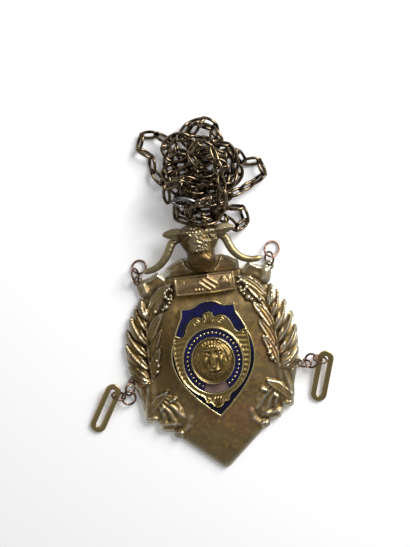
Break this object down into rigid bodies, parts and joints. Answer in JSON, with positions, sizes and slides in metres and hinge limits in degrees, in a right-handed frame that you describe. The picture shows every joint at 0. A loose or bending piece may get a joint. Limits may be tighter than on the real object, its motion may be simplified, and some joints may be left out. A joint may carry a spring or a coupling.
{
  "type": "chain of office",
  "caption": "Cast brass breast badge with an ox head, wreath and enamelled shield with a lion mask, lying on its back with its heaped neck chain, loose jump rings and long flat links.",
  "frame": {"origin": "on the badge's flat back, behind the middle of the lion medallion", "axes": "+Z out of the badge's face, +Y from its point to the ox head, +X to the right as seen from the front"},
  "size_m": [0.1174, 0.1654, 0.0213],
  "materials": {
    "brass": "cast, worn bright on the relief and dark in the hollows",
    "copper": "drawn copper-coloured wire, lightly tarnished",
    "bronze": "dark polished chain wire",
    "steel": "dull grey, worn",
    "enamel": "opaque dark blue glass enamel, glossy"
  },
  "bodies": {
    "root": {"backplate": "brass", "ox_head": "brass", "hands_plaque": "brass", "shield": "brass", "enamel_upper": "enamel", "enamel_lower": "enamel", "enamel_band": "enamel", "lion_medallion": "brass", "ring_upper_left_1": "copper", "ring_upper_left_2": "copper", "ring_upper_right_1": "copper", "ring_upper_right_2": "copper", "ring_lower_left_1": "copper", "ring_lower_left_2": "copper", "ring_lower_left_3": "copper", "ring_lower_right_1": "copper", "ring_lower_right_2": "copper", "ring_lower_right_3": "copper", "long_link_left": "brass", "long_link_right": "brass", "neck_chain": "bronze", "clasp": "steel"}
  },
  "joints": []
}
